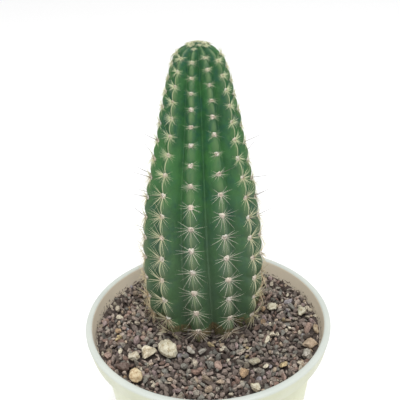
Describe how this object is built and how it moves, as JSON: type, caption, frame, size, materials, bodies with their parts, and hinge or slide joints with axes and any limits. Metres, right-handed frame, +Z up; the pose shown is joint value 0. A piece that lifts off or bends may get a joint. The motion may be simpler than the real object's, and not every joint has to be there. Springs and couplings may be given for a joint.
{
  "type": "potted tall cactus",
  "caption": "Tall ribbed columnar cactus with rows of felt pads and spines, standing in grit and soil in a round lipped plastic pot.",
  "frame": {"origin": "centre of the pot's foot, on the surface that it stands on", "axes": "+Z up along the pot and the stem; -Y is the side that faces the picture's camera"},
  "size_m": [0.1198, 0.12, 0.2367],
  "materials": {
    "pot": "pale grey-green moulded plastic, softly glossy",
    "soil": "dark crumbly potting mix",
    "gravel": "mauve-brown volcanic grit, dull and porous",
    "cactus": "waxy green skin with cream felt pads and pale spines",
    "pebble_cream": "cream pumice-like stone",
    "pebble_tan": "tan rough stone",
    "pebble_grey": "grey rough stone",
    "pebble_red": "dark red-brown lava stone"
  },
  "bodies": {
    "root": {"pot": "pot", "soil": "soil", "gravel": "gravel", "cactus": "cactus", "pebble_01": "pebble_cream", "pebble_02": "pebble_cream", "pebble_03": "pebble_cream", "pebble_04": "pebble_tan", "pebble_05": "pebble_grey", "pebble_06": "pebble_grey", "pebble_07": "pebble_cream", "pebble_08": "pebble_cream", "pebble_09": "pebble_cream", "pebble_10": "pebble_tan", "pebble_11": "pebble_grey", "pebble_12": "pebble_tan", "pebble_13": "pebble_cream", "pebble_14": "pebble_red"}
  },
  "joints": []
}
